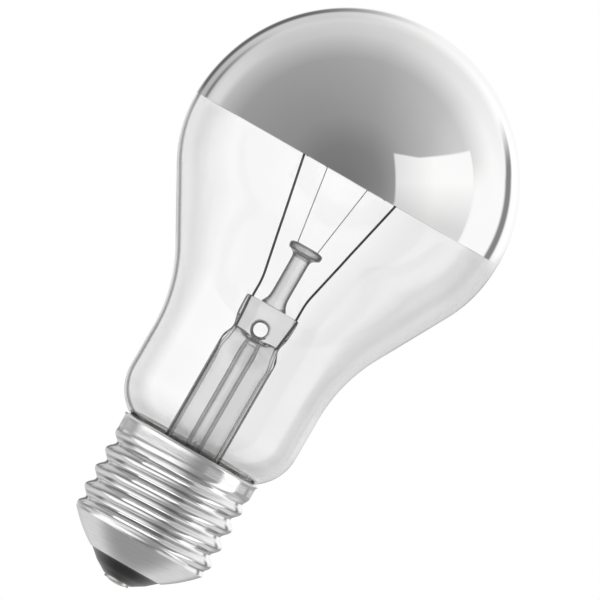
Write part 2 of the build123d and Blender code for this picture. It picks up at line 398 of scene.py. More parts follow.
def make_glass():
    outline = Outline(0, bulb_height)
    outline.arc(0, widest_z, pi / 2, steps=48)
    outline.arc(shoulder_centre, widest_z, taper_angle, steps=14)
    outline.line(cone_bottom, waist_z + waist_radius * sin(taper_angle), steps=12)
    outline.arc(waist_centre, waist_z, -taper_angle, steps=16)
    outline.line(neck_radius, gather_z, steps=5)
    outline.arc(gather_centre, gather_z, gather_angle, steps=20)
    outline.line(seal_radius, throat_z, steps=2)
    outline.line(seal_radius, seal_z, steps=3)
    return smooth_skin(walled(outline.turned("clear_bulb_glass", steps=160), glass_wall))


def make_mirror():
    radius = crown_radius + mirror_coat
    rim = asin(mirror_rim_height / radius)
    outline = Outline(0, widest_z + radius)
    outline.arc(0, widest_z, pi / 2 - rim, steps=60)
    return smooth_skin(walled(outline.turned("silver_crown", steps=192), mirror_coat - mirror_gap))


# Cap

def ring_to(ring, x, y, z, radius):
    """Extrude the selected ring to a new place and radius."""
    old_x, old_y, old_z, old_radius = ring
    move = ((x - old_x) * MM, (y - old_y) * MM, (z - old_z) * MM)
    bpy.ops.mesh.extrude_region_move(TRANSFORM_OT_translate={"value": move})
    scale = radius / old_radius
    bpy.ops.transform.resize(value=(scale, scale, 1), center_override=(x * MM, y * MM, z * MM))
    return x, y, z, radius


def draw_funnel(ring):
    """Bulged side of the funnel, up to the thread."""
    bottom, top = funnel_bottom_diameter / 2, funnel_top_diameter / 2
    chord = Vector((top - bottom, funnel_height))
    sagitta = funnel_radius - sqrt(funnel_radius**2 - (chord.length / 2) ** 2)
    bulge = Vector((chord.y, -chord.x)).normalized()
    for step in range(1, funnel_rings + 1):
        share = step / funnel_rings
        point = Vector((bottom, funnel_z)) + chord * share + bulge * sagitta * 4 * share * (1 - share)
        ring = ring_to(ring, 0, 0, point.y, point.x)
    return ring


def draw_thread(ring):
    """Round thread: each ring's middle turns about the axis as it rises, with a soft start and end."""
    top = funnel_top_diameter / 2
    count = round(rings_per_turn * thread_run / thread_pitch)
    for step in range(1, count + 1):
        rise = thread_run * step / count
        begun, left = eased(rise / thread_fade_in), eased((thread_run - rise) / thread_fade_out)
        radius = thread_mean + (top - thread_mean) * (1 - begun) + (skirt_radius - thread_mean) * (1 - left)
        throw = thread_throw * begun * left
        turn = 2 * pi * (rise - thread_lead_in) / thread_pitch
        ring = ring_to(ring, throw * cos(turn), throw * sin(turn), thread_z + rise, radius)
    return ring


def make_cap_shell():
    """Sheet shell drawn up ring by ring: funnel, rolled thread, skirt and flared lip."""
    bottom = funnel_bottom_diameter / 2
    fresh()
    bpy.ops.mesh.primitive_circle_add(vertices=cap_sides, radius=bottom * MM)
    to_edit()
    bpy.ops.transform.translate(value=(0, 0, funnel_z * MM))
    ring = draw_thread(draw_funnel((0, 0, funnel_z, bottom)))
    for step in range(1, skirt_rings + 1):
        ring = ring_to(ring, 0, 0, skirt_z + skirt_height * step / skirt_rings, skirt_radius)
    for step in range(1, lip_rings + 1):
        share = step / lip_rings
        ring = ring_to(ring, 0, 0, lip_z + lip_height * share, skirt_radius + lip_flare * share * share)
    faces_outwards()
    return smooth_skin(walled(pick("cap_shell_sheet"), sheet))


def make_insulator():
    """Nose with a bent side, a rounded edge under the sheet and a collar inside the funnel."""
    rim = funnel_bottom_diameter / 2 + nose_rim
    throat = rim - sheet
    outline = Outline(lead_hole, nose_z)
    outline.line(plate_diameter / 2 + nose_margin, nose_z, steps=3)
    outline.line(nose_knee_radius, nose_z + nose_knee_rise, steps=4)
    for inset, drop, steps in nose_edge:
        outline.line(rim - inset, funnel_z - drop, steps)
    outline.line(throat - collar_play, funnel_z + collar_lip)
    outline.line(throat + collar_flare, funnel_z + collar_height, steps=2)
    outline.line(lead_hole, funnel_z + collar_height, steps=2)
    outline.line(lead_hole, nose_z)
    return smooth_skin(outline.close().turned("black_glass_insulator", steps=96), 35)


def make_contact_plate():
    side = plate_diameter / 2
    outline = Outline(lead_hole, nose_z)
    outline.line(side, nose_z, steps=2)
    outline.line(side, plate_z + plate_round)
    outline.line(side - plate_round / 3, plate_z + plate_round / 3)
    outline.line(side - plate_round, plate_z)
    outline.line(lead_hole, plate_z, steps=4)
    outline.line(lead_hole, nose_z)
    return smooth_skin(outline.close().turned("centre_contact_plate", steps=72))


def solder_drop(name, width, depth, height, place, seed):
    """Small uneven drop of solder."""
    fresh()
    bpy.ops.mesh.primitive_uv_sphere_add(segments=32, ring_count=16, radius=MM / 2)
    to_edit()
    bpy.ops.transform.resize(value=(width, depth, height))
    bpy.ops.transform.translate(value=Vector(place) * MM)
    bpy.ops.transform.vertex_random(offset=solder_unevenness * MM, uniform=0.3, normal=1.0, seed=seed)
    bpy.ops.mesh.vertices_smooth(factor=0.5, repeat=3)
    return smooth_skin(pick(name), 180)


def make_contact_solder():
    place = (0, 0, bead_middle)
    return solder_drop("centre_solder_drop", bead_diameter, bead_diameter, bead_thickness, place, seed=3)


def make_side_solder():
    place = (0, skirt_radius + side_bead_out, cap_height - side_bead_drop)
    size = (side_bead_width, side_bead_depth, side_bead_height)
    return solder_drop("side_solder_drop", *size, place, seed=5)


# Stem, rod and exhaust tube

def rings_from(height, rings):
    """Rings of half width, half depth and rise, set up from a height."""
    return [(width, depth, height + rise) for width, depth, rise in rings]


def plain_rings(radius):
    """Round rings of the straight tube."""
    return [(radius, radius, cap_height + rise) for rise in tube_ring_rises]


def section_to(section, width, depth, z):
    """Extrude the selected ring up to a new height, width and depth."""
    old_width, old_depth, old_z = section
    bpy.ops.mesh.extrude_region_move(TRANSFORM_OT_translate={"value": (0, 0, (z - old_z) * MM)})
    scale = (width / old_width, depth / old_depth, 1)
    bpy.ops.transform.resize(value=scale, center_override=(0, 0, z * MM))
    return width, depth, z


def drawn_tube(sections, sides):
    """Chain of rings through half widths, half depths and heights, closed at its end."""
    width, depth, z = sections[0]
    fresh()
    bpy.ops.mesh.primitive_circle_add(vertices=sides, radius=width * MM)
    to_edit()
    bpy.ops.transform.resize(value=(1, depth / width, 1), center_override=(0, 0, 0))
    bpy.ops.transform.translate(value=(0, 0, z * MM))
    section = sections[0]
    for width, depth, z in sections[1:]:
        section = section_to(section, width, depth, z)
    bpy.ops.mesh.edge_face_add()
    bpy.ops.mesh.inset(thickness=end_inset * min(section[0], section[1]) * MM)


def close_ring(test):
    """Fill the open ring whose edges pass a test, with an inset that keeps its corner firm."""
    select_where("edges", test)
    bpy.ops.mesh.edge_face_add()
    bpy.ops.mesh.inset(thickness=ring_inset * MM)


def on_roof(point):
    """Whether a point belongs to the closed end of the stem's bore."""
    return abs(point.z - roof_z) < close_by and abs(point.y) < roof_half_depth + close_by


def press_flat():
    """Flatten the front and back of the pinched glass."""
    low = pinch_z + press_flat_rise
    for side in (-1, 1):
        select_where("vertices", lambda p: p.z > low and side * p.y > press_half_depth)
        bpy.ops.transform.resize(value=(1, 0, 1), center_override=(0, side * press_half_depth * MM, 0))


def cut_eye():
    """Round hole through the press, funnelled from both mouths to a narrow waist."""
    middle = (0, 0, eye_z * MM)
    wall = eye_diameter / 2 + eye_reach

    def near(point, half_width, half_height):
        return abs(point.x) < half_width and abs(point.z - eye_z) < half_height

    def half_way(point):
        return Vector((point.x, point.z - eye_z)).length < wall and abs(point.y) < press_core

    select_where("polygons", lambda p: near(p, *eye_faces) and abs(p.y) > press_core)
    bpy.ops.mesh.delete(type="FACE")
    for side in (-1, 1):
        select_where("vertices", lambda p: near(p, *eye_points) and side * p.y > press_core)
        bpy.ops.transform.tosphere(value=1.0)
        bpy.ops.transform.resize(value=(eye_mouth, 1, eye_mouth), center_override=middle)
    select_where("edges", lambda p: False)
    bpy.ops.mesh.select_non_manifold()
    bpy.ops.transform.edge_crease(value=1.0)
    bpy.ops.mesh.bridge_edge_loops(number_cuts=3)
    select_where("vertices", half_way)
    bpy.ops.transform.resize(value=(eye_waist, 1, eye_waist), center_override=middle)


def melted(name, angle):
    """Soften the drawn glass and hand it over."""
    faces_outwards()
    piece = pick(name)
    apply_modifier(piece, "SUBSURF", levels=2, render_levels=2)
    return smooth_skin(piece, angle)


def make_stem():
    """Flare tube pinched flat round the leads: one skin down the bore, over the foot and up the outside."""
    bore = rings_from(foot_z, bore_foot_rings) + rings_from(flare_z, bore_end_rings)
    bore += plain_rings(bore_radius) + rings_from(pinch_z, bore_pinch_rings)
    bore += rings_from(roof_z, [roof_ring])
    outside = rings_from(foot_z, flare_rings) + rings_from(flare_z, flare_end_rings)
    outside += plain_rings(stem_radius) + rings_from(pinch_z, pinch_rings)
    outside += rings_from(eye_z, press_rings) + rings_from(press_top, press_end_rings)
    drawn_tube(bore[::-1] + outside, sides=32)
    close_ring(on_roof)
    press_flat()
    cut_eye()
    select_where("vertices", lambda p: on_roof(p) and abs(p.x) > roof_end_x)
    bpy.ops.transform.translate(value=(0, 0, roof_lift * MM))
    select_where("vertices", lambda p: on_roof(p) and abs(p.x) < roof_middle_x)
    bpy.ops.transform.translate(value=(0, 0, -roof_sag * MM))
    return melted("pinched_stem_glass", 50)


def make_rod():
    """Rod on the press, its foot spread and its top melted into a button."""
    foot = press_top + rod_gap
    edge = button_diameter / 2
    rings = rings_from(foot, rod_foot_rings) + rings_from(rod_top, rod_end_rings)
    rings += [(edge - inset, edge - inset, rod_top + rise) for inset, rise in button_rings]
    drawn_tube(rings, sides=24)
    close_ring(lambda p: abs(p.z - foot) < close_by)
    return melted("glass_rod_with_button", 180)


def make_exhaust():
    """Thin tube with a pulled and sealed tip."""
    side, bore = exhaust_diameter / 2, exhaust_diameter / 2 - exhaust_wall
    tip_z, top_z = cap_height - exhaust_tip_drop, slot_z - exhaust_top_gap
    # Sealed tip, outside and inside: radius, rise from the tip, steps
    outer_tip = [(0.3, 0.05, 1), (0.45, 0.2, 1), (side - exhaust_round, 2.1, 3), (side, 2.7, 1)]
    inner_tip = [(bore, 3.0, 8), (bore - 0.35, 2.5, 1), (0, 2.2, 1)]
    outline = Outline(0, tip_z)
    for radius, rise, steps in outer_tip:
        outline.line(radius, tip_z + rise, steps)
    outline.line(side, top_z - exhaust_round, steps=8).line(side - exhaust_round, top_z)
    outline.line(bore + exhaust_round, top_z).line(bore, top_z - exhaust_round)
    for radius, rise, steps in inner_tip:
        outline.line(radius, tip_z + rise, steps)
    return smooth_skin(outline.turned("exhaust_tube_glass", steps=48))


# Wires

def drawn_wire(name, points, diameter, bend=0.0):
    """Round wire along points, with its kinks eased into bends."""
    start_point(points[0])
    for start, end in zip(points, points[1:]):
        step = (Vector(end) - Vector(start)) * MM
        bpy.ops.mesh.extrude_vertices_move(TRANSFORM_OT_translate={"value": step})
    if bend:
        inner = [Vector(point) for point in points[1:-1]]
        select_where("vertices", lambda p: any((p - point).length < close_by for point in inner))
        bpy.ops.mesh.bevel(offset=bend * MM, offset_type="OFFSET", segments=8, affect="VERTICES")
    to_object()
    bpy.ops.object.convert(target="CURVE")
    curve = bpy.context.object
    curve.data.bevel_depth = diameter / 2 * MM
    curve.data.bevel_resolution = 3
    curve.data.use_fill_caps = True
    bpy.ops.object.convert(target="MESH")
    return smooth_skin(pick(name), 60)


def side_name(side):
    return "left" if side < 0 else "right"


def hook_point(side):
    """Middle of a support's hook."""
    return Vector((side * hook_reach, filament_bow, filament_z))


def lead_point(side):
    """End of the filament at the top of a lead."""
    return Vector((filament_offset + side * filament_span / 2, 0, filament_z))


def press_point(side):
    """Place where a lead comes out of the press."""
    return Vector((press_offset + side * press_lead_x, 0, press_top - lead_sink))


def settle(piece):
    """Put a piece's turn and place into its mesh."""
    take(piece)
    bpy.ops.object.transform_apply(location=True, rotation=True, scale=True)


def make_inner_lead(side):
    """Lead from the press to the filament, its end hammered flat and folded round the coil."""
    along = (hook_point(side) - lead_point(side)).normalized()
    end = lead_point(side) + along * clamp_length / 2
    foot = press_point(side)
    tip = end - Vector((side * lead_end_in, 0, lead_end_drop))
    points = [foot, foot + Vector((0, 0, lead_straight)), tip]
    lead = drawn_wire(side_name(side) + "_lead_to_filament", points, lead_diameter, lead_bend)
    clamp_side = filament_diameter + 2 * clamp_wall
    fresh()
    bpy.ops.mesh.primitive_cube_add(size=MM)
    to_edit()
    bpy.ops.transform.resize(value=(clamp_length, clamp_side, clamp_side))
    bpy.ops.mesh.bevel(offset=clamp_wall * MM, segments=3)
    to_object()
    clamp = bpy.context.object
    clamp.rotation_euler = (0, 0, atan2(along.y, along.x))
    clamp.location = end * MM
    settle(clamp)
    smooth_skin(clamp, 35)
    lead.select_set(True)
    bpy.context.view_layer.objects.active = lead
    bpy.ops.object.join()
    return lead


def make_seal_wire(side):
    points = [(side * slot_lead_x, 0, slot_z), press_point(side)]
    return drawn_wire(side_name(side) + "_fused_wire", points, lead_diameter)


def make_support(side):
    """Thin wire from the button up in front of the filament, hooked back over it."""
    reach = filament_diameter / 2 + hook_gap + support_diameter / 2
    foot = Vector((side * (button_diameter / 2 - support_inset), support_back, button_top - support_depth))
    front = hook_point(side) - Vector((0, reach, 0))
    over = Vector((0, 0, reach))
    points = [foot, front - over, front + over, front + over + Vector((0, reach + hook_tail, 0))]
    return drawn_wire(side_name(side) + "_support_hook", points, support_diameter, support_bend)


def make_contact_lead():
    """Outer wire down the left of the flare, then along the axis to the centre contact."""
    kink_z = pinch_z - lead_kink_drop
    points = [(-slot_lead_x, 0, slot_z), (-tube_lead_x, 0, kink_z), (-tube_lead_x, 0, flare_rim_z)]
    points += [(0, 0, thread_z + lead_straight), (0, 0, nose_z)]
    return drawn_wire("lead_to_centre_contact", points, outer_lead_diameter, contact_lead_bend)


def make_shell_lead():
    """Outer wire down the right of the flare, under the edge of the glass and up to the cap's rim."""
    kink_z = pinch_z - lead_kink_drop
    under_z = seal_z - lead_dip
    way_up = seal_radius + seal_gap / 2
    points = [(slot_lead_x, 0, slot_z), (tube_lead_x, 0, kink_z), (tube_lead_x, 0, flare_z)]
    points += [(tube_lead_x / 2, way_up / 2, under_z), (0, way_up, under_z)]
    points += [(0, way_up, cap_height - lead_exit), (0, skirt_radius - rim_end_in, cap_height - rim_end_drop)]
    return drawn_wire("lead_to_cap_rim", points, outer_lead_diameter, shell_lead_bend)


def make_coil_run(start, end):
    """Straight run of the filament's coil between two points."""
    length = (end - start).length
    turns = max(1, round(length / coil_pitch))
    fresh()
    bpy.ops.mesh.primitive_circle_add(vertices=8, radius=coil_wire_radius * MM)
    to_edit()
    bpy.ops.transform.rotate(value=pi / 2, orient_axis="X", center_override=(0, 0, 0))
    bpy.ops.transform.translate(value=((filament_diameter / 2 - coil_wire_radius) * MM, 0, 0))
    to_object()
    piece = bpy.context.object
    apply_modifier(
        piece, "SCREW", screw_offset=length / turns * MM, iterations=turns, steps=coil_steps,
        render_steps=coil_steps, axis="Z", angle=2 * pi, use_merge_vertices=False)
    along = (end - start).normalized()
    piece.rotation_mode = "QUATERNION"
    piece.rotation_quaternion = Vector((0, 0, 1)).rotation_difference(along)
    piece.location = start * MM
    settle(piece)
    return piece


def make_filament():
    stops = [lead_point(-1), hook_point(-1), hook_point(1), lead_point(1)]
    runs = [make_coil_run(start, end) for start, end in zip(stops, stops[1:])]
    fresh()
    for part in runs:
        part.select_set(True)
    bpy.context.view_layer.objects.active = runs[0]
    bpy.ops.object.join()
    to_edit()
    select_all()
    bpy.ops.mesh.fill_holes(sides=8)
    faces_outwards()
    return smooth_skin(pick("coiled_filament"), 180)


# Nodes

def new_material(name):
    material = bpy.data.materials.new(name)
    material.use_nodes = True
    tree = material.node_tree
    return material, tree, tree.nodes["Principled BSDF"]


def node(tree, kind, **settings):
    made = tree.nodes.new(kind)
    for key, value in settings.items():
        setattr(made, key, value)
    return made


def feed(tree, made, values):
    """Link sockets into a node's inputs, and set plain numbers there."""
    for name, value in values.items():
        if isinstance(value, bpy.types.NodeSocket):
            tree.links.new(value, made.inputs[name])
        else:
            made.inputs[name].default_value = value


def calc(tree, operation, *values):
    """Math node on sockets or plain numbers."""
    made = node(tree, "ShaderNodeMath", operation=operation)
    feed(tree, made, dict(enumerate(values)))
    return made.outputs[0]


def times(tree, first, second):
    return calc(tree, "MULTIPLY", first, second)


def blend(tree, share, first, second):
    """Number that goes from the first value to the second."""
    made = node(tree, "ShaderNodeMix", data_type="FLOAT")
    feed(tree, made, {0: share, 2: first, 3: second})
    return made.outputs[0]


def soft_step(tree, value, start, end):
    """Eased step from 0 at the start to 1 at the end."""
    made = node(tree, "ShaderNodeMapRange", interpolation_type="SMOOTHSTEP")
    feed(tree, made, {"Value": value, "From Min": start, "From Max": end})
    return made.outputs[0]


def above(tree, value, limit, soft):
    """1 above a limit, else 0, with a soft edge."""
    return soft_step(tree, value, limit - soft, limit + soft)


def below(tree, value, limit, soft):
    """1 below a limit, else 0, with a soft edge."""
    return soft_step(tree, value, limit + soft, limit - soft)


def band(tree, value, low, high, soft):
    """1 between two limits, with soft edges, else 0."""
    return times(tree, above(tree, value, low, soft), below(tree, value, high, soft))


def ramp(tree, share, stops, kind="LINEAR"):
    """Grey ramp from pairs of place and brightness, or place and colour."""
    made = node(tree, "ShaderNodeValToRGB")
    made.color_ramp.interpolation = kind
    elements = made.color_ramp.elements
    while len(elements) < len(stops):
        elements.new(0.5)
    for element, (place, colour) in zip(elements, sorted(stops, key=lambda stop: stop[0])):
        element.position = place
        element.color = (*colour, 1) if isinstance(colour, tuple) else (colour, colour, colour, 1)
    feed(tree, made, {"Fac": share})
    return made.outputs["Color"]


def own_place(tree, scale=(1, 1, 1)):
    """Object coordinates through a mapping."""
    place = node(tree, "ShaderNodeTexCoord")
    mapping = node(tree, "ShaderNodeMapping")
    feed(tree, mapping, {"Vector": place.outputs["Object"], "Scale": scale})
    return mapping.outputs["Vector"]


def parts_of(tree, vector):
    """X, Y and Z of a vector."""
    made = node(tree, "ShaderNodeSeparateXYZ")
    feed(tree, made, {0: vector})
    return made.outputs


def noise(tree, vector, scale, detail=3.0, rough=0.5):
    made = node(tree, "ShaderNodeTexNoise")
    feed(tree, made, {"Vector": vector, "Scale": scale, "Detail": detail, "Roughness": rough})
    return made.outputs["Fac"]


def bump(tree, shader, height, strength, depth):
    """Relief of a depth in millimetres."""
    made = node(tree, "ShaderNodeBump")
    feed(tree, made, {"Height": height, "Strength": strength, "Distance": depth * MM})
    feed(tree, shader, {"Normal": made.outputs["Normal"]})


def facing(tree):
    """0 where the surface is seen square on, 1 where it is seen edge on."""
    made = node(tree, "ShaderNodeLayerWeight")
    feed(tree, made, {"Blend": 0.5})
    return made.outputs["Facing"]


# Glass finishes

glass_ior = 1.5
tube_skin_radius = stem_radius - stem_wall / 2  # between the tube's bore and its outside
press_skin_z = slot_z - 0.9  # above this the whole stem counts as outside
right_thinning = 0.08  # painted edge-on shade starts this much later on the right
line_reach = 2.0  # depth inside the outline over which the painted shade on the left is drawn
tube_gloss = 0.2  # low, so that the tube mirrors little of the room
bore_tint = 0.97
right_soft = 2.0  # half width of the change at the axis
left_soft = 6.0  # the painted shade on the left begins at the axis and is full at twice this to the left


def outer_skin(tree, x, y):
    """1 on the outer side of a turned wall, 0 on its inner side."""
    surface = node(tree, "ShaderNodeNewGeometry")
    normal_x, normal_y, _ = parts_of(tree, surface.outputs["Normal"])
    outwards = calc(tree, "ADD", times(tree, normal_x, x), times(tree, normal_y, y))
    front = calc(tree, "MULTIPLY_ADD", surface.outputs["Backfacing"], -2.0, 1.0)
    return calc(tree, "GREATER_THAN", times(tree, outwards, front), 0.0)


def edge_depth(tree, edge, radius):
    """How far inside its outline a turned wall is seen, from its facing and radius."""
    cosine = calc(tree, "SUBTRACT", 1.0, edge)
    sine = calc(tree, "SQRT", calc(tree, "SUBTRACT", 1.0, times(tree, cosine, cosine)))
    return times(tree, radius, calc(tree, "SUBTRACT", 1.0, sine))


def glass_finish(name, edge_on_shade, shade=(), dark_rim=(), left_edge_shade=(), ripple=0.05):
    """Clear glass with painted shade edge on and, by pairs of height and tone, darker at some heights.

    dark_rim stops the light edge on, as a painted dark outline, outside the bore of the stem's tube, a little
    later on the right.
    left_edge_shade paints shade along the left outline of a turned wall, by pairs of depth and tone.
    """
    material, tree, shader = new_material(name)
    feed(tree, shader, {"Transmission Weight": 1.0, "IOR": glass_ior, "Roughness": 0.0})
    x, y, z = parts_of(tree, own_place(tree))
    squares = calc(tree, "ADD", times(tree, x, x), times(tree, y, y))
    radius = calc(tree, "SQRT", squares)
    edge = facing(tree)
    if dark_rim:
        feed(tree, shader, {"Specular IOR Level": tube_gloss})
        right_side = above(tree, x, 0.0, right_soft * MM)
        edge = calc(tree, "SUBTRACT", edge, times(tree, right_side, right_thinning))
    # Painted shade: the base colour darkens as the glass is seen edge on.
    tint_and_shade = ramp(tree, edge, edge_on_shade)
    if dark_rim:
        pressed = calc(tree, "GREATER_THAN", z, press_skin_z * MM)
        outside = calc(tree, "MAXIMUM", calc(tree, "GREATER_THAN", radius, tube_skin_radius * MM), pressed)
        tint_and_shade = blend(tree, outside, bore_tint, tint_and_shade)
        # Painted dark outline: edge on, outside the bore, the glass lets no light through.
        clear = blend(tree, outside, 1.0, ramp(tree, edge, dark_rim))
        feed(tree, shader, {"Transmission Weight": clear})
    # Painted shade along the left outline, on the outer skin only.
    if left_edge_shade:
        left = times(tree, below(tree, x, -left_soft * MM, left_soft * MM), outer_skin(tree, x, y))
        depth = calc(tree, "DIVIDE", edge_depth(tree, edge, radius), line_reach * MM)
        line = ramp(tree, depth, [(inside / line_reach, tone) for inside, tone in left_edge_shade])
        tint_and_shade = blend(tree, left, tint_and_shade, line)
    # Painted shade by height: above the cap's rim, at the tube's foot; also darker in the press and the rod's
    # button.
    if shade:
        share = calc(tree, "DIVIDE", z, bulb_height * MM)
        height_shade = ramp(tree, share, [(height / bulb_height, tone) for height, tone in shade], "EASE")
        tint_and_shade = times(tree, tint_and_shade, height_shade)
    feed(tree, shader, {"Base Color": tint_and_shade})
    waves = noise(tree, own_place(tree, (1, 1, 0.35)), scale=90.0, detail=1.0)
    bump(tree, shader, waves, strength=ripple, depth=0.4)
    return material


def bulb_glass_finish():
    """Thin clear glass, a little darker edge on as painted shade, with a fine painted shade line along its
    left outline and a soft painted shade above the cap.
    """
    rises = [(0.4, 1.0), (0.9, 0.89), (1.5, 0.85), (2.0, 0.87), (2.6, 0.92), (4.0, 0.965), (7.0, 1.0)]
    shade = [(cap_height + rise, tone) for rise, tone in rises]
    left_edge_shade = [(0.0, 0.985), (0.12, 0.8), (0.4, 0.05), (0.65, 0.06), (0.95, 0.985)]
    return glass_finish("clear_glass", [(0.0, 0.995), (1.0, 0.9)], shade, left_edge_shade=left_edge_shade, ripple=0.02)


def tube_glass_finish():
    """Tube and press with painted dark outlines edge on, painted shade at the tube's foot, and darker in the
    press.
    """
    rises = [(1.2, 0.76), (2.0, 0.8), (3.0, 0.9)]
    shade = [(cap_height + rise, tone) for rise, tone in rises] + [(slot_z - 1.5, 0.91), (slot_z, 0.76)]
    return glass_finish(
        "stem_tube_glass", [(0.0, 1.0), (0.46, 0.97), (0.58, 0.015)], shade,
        dark_rim=[(0.46, 1.0), (0.58, 0.0)])


def rod_glass_finish():
    """Solid rod with painted shade edge on, darker towards its button."""
    return glass_finish(
        "stem_rod_glass", [(0.0, 0.82), (0.1, 0.74), (0.18, 0.5), (0.3, 0.15), (0.5, 0.1)],
        shade=[(rod_top - 0.6, 1.0), (rod_top + 0.2, 0.62)])


def exhaust_glass_finish():
    # Painted shade edge on, by the ramp of tones.
    return glass_finish("exhaust_glass", [(0.0, 0.97), (0.26, 0.88), (0.4, 0.26), (0.6, 0.08)])


# Metal and other finishes

def mottled(tree, vector, low, high, scale, detail, edges=(0.3, 0.7)):
    """Noise between two tones or colours."""
    cloud = noise(tree, vector, scale, detail)
    return ramp(tree, cloud, [(edges[0], low), (edges[1], high)])


def mirror_finish():
    material, tree, shader = new_material("silver_mirror_coat")
    place = own_place(tree)
    colour = mottled(tree, place, (0.87, 0.87, 0.87), (0.90, 0.90, 0.895), scale=60.0, detail=4.0)
    rough = mottled(tree, place, 0.025, 0.045, scale=250.0, detail=5.0, edges=(0.35, 0.7))
    feed(tree, shader, {"Metallic": 1.0, "Base Color": colour, "Roughness": rough})
    bump(tree, shader, noise(tree, place, scale=45.0, detail=2.0), strength=0.03, depth=0.5)
    return material


def aluminium_finish():
    """Rolled aluminium, with painted shade as dark lines in the groove and along the crest of the thread."""
    material, tree, shader = new_material("satin_cap_aluminium")
    x, y, z = parts_of(tree, own_place(tree))
    turn = times(tree, calc(tree, "ARCTAN2", y, x), 1 / (2 * pi))
    first_crest = (thread_z + thread_lead_in) * MM
    rise = calc(tree, "DIVIDE", calc(tree, "SUBTRACT", z, first_crest), thread_pitch * MM)
    phase = calc(tree, "FRACT", calc(tree, "ADD", calc(tree, "SUBTRACT", rise, turn), 10.0))
    # Painted shade: a dark line in the thread's groove and one along its crest, patchy by a cloud noise.
    crest_shade = [(0.0, 0.5), (0.05, 0.62), (0.12, 1.0), (0.93, 1.0), (1.0, 0.5)]
    groove_shade = [(0.58, 1.0), (0.66, 0.42), (0.72, 0.5), (0.78, 1.0)]
    shade_lines = ramp(tree, phase, crest_shade + groove_shade)
    threaded = band(tree, z, (thread_z + 0.5) * MM, (skirt_z - 1.0) * MM, 0.6 * MM)
    rolled = noise(tree, own_place(tree, (1, 1, 14)), scale=260.0, detail=4.0, rough=0.6)
    cloud = noise(tree, own_place(tree), scale=120.0)
    sheen = ramp(tree, rolled, [(0.3, 0.80), (0.7, 0.88)])
    thread_shade_mask = times(tree, threaded, ramp(tree, cloud, [(0.2, 0.75), (0.7, 1.0)]))
    thread_shade = blend(tree, thread_shade_mask, 1.0, shade_lines)
    rough = ramp(tree, cloud, [(0.3, 0.11), (0.75, 0.19)])
    feed(tree, shader, {"Metallic": 1.0, "Base Color": times(tree, sheen, thread_shade), "Roughness": rough})
    bump(tree, shader, rolled, strength=0.10, depth=0.1)
    return material


def black_glass_finish():
    material, tree, shader = new_material("black_glass")
    place = own_place(tree)
    colour = mottled(tree, place, 0.006, 0.018, scale=300.0, detail=4.0, edges=(0.3, 0.75))
    rough = mottled(tree, place, 0.16, 0.30, scale=500.0, detail=3.0)
    feed(tree, shader, {"Base Color": colour, "Roughness": rough})
    feed(tree, shader, {"Coat Weight": 0.15, "Coat Roughness": 0.12})
    bump(tree, shader, noise(tree, place, scale=400.0, detail=2.0), strength=0.15, depth=0.2)
    return material


def grained_finish(name, dark, light, rough, metallic=1.0):
    """Drawn or melted metal, or cement, with a mottled colour and a fine grain."""
    grain = 600.0
    material, tree, shader = new_material(name)
    place = own_place(tree)
    colour = mottled(tree, place, dark, light, grain, detail=4.0)
    dull = mottled(tree, place, *rough, grain * 1.7, detail=3.0)
    feed(tree, shader, {"Metallic": metallic, "Base Color": colour, "Roughness": dull})
    bump(tree, shader, noise(tree, place, grain), strength=0.2, depth=0.2)
    return material


def dress(piece, finish, slot, *nodes):
    piece.data.materials.clear()
    piece.data.materials.append(finish)
    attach(piece, "root")
    if nodes:
        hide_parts(*nodes)


# Studio

view_lean = radians(29.9)  # the bulb leans to the right in the picture
view_width = 105.4  # millimetres across the picture
view_middle = (3.4, 59.4)
camera_distance = 5000.0
camera_height = 72.0  # between the mirror's rim and the cap's, so that the far sides of both stay hidden


def set_camera():
    """Camera far in front of the bulb; hands over the picture's right and up."""
    middle = Vector((view_middle[0], 0, view_middle[1]))
    spot = Vector((view_middle[0], -camera_distance, camera_height))
    back = (spot - middle).normalized()
    level = Vector((1, 0, 0))
    upright = back.cross(level)
    right = cos(view_lean) * level + sin(view_lean) * upright
    up = cos(view_lean) * upright - sin(view_lean) * level
    data = bpy.data.cameras.new("studio_camera")
    data.sensor_width = 36.0
    data.lens = data.sensor_width * camera_distance / view_width
    data.clip_start, data.clip_end = 0.5, 40.0
    camera = bpy.data.objects.new("studio_camera", data)
    bpy.context.scene.collection.objects.link(camera)
    turn = Matrix((right, up, back)).transposed().to_4x4()
    camera.matrix_world = Matrix.Translation(spot * MM) @ turn
    bpy.context.scene.camera = camera
    return right, up


class Ways:
    """Directions in the studio as sockets: shares along the axes, and angles in degrees."""

    def __init__(self, tree, right, up):
        direction = node(tree, "ShaderNodeTexCoord").outputs["Generated"]

        def along(axis):
            made = node(tree, "ShaderNodeVectorMath", operation="DOT_PRODUCT")
            feed(tree, made, {0: direction, 1: axis})
            return made.outputs["Value"]

        def angle(operation, *values):
            return times(tree, calc(tree, operation, *values), 180 / pi)

        self.right, self.back = along(right), along((0, 1, 0))
        self.x, self.z = along((1, 0, 0)), along((0, 0, 1))
        front = times(tree, self.back, -1.0)
        self.from_back = angle("ARCCOSINE", self.back)
        self.height = angle("ARCSINE", along(up))
        self.swing = angle("ARCTAN2", self.right, front)  # round the picture's upright, from the front
        self.round_axis = angle("ARCTAN2", self.x, front)  # round the bulb's own axis
        self.side = calc(tree, "DIVIDE", self.right, calc(tree, "SINE", calc(tree, "ARCCOSINE", self.back)))


def lay(tree, light, tone, *masks):
    """Lay a tone over the light where every mask is 1."""
    share = masks[0]
    for mask in masks[1:]:
        share = times(tree, share, mask)
    return blend(tree, share, light, tone)


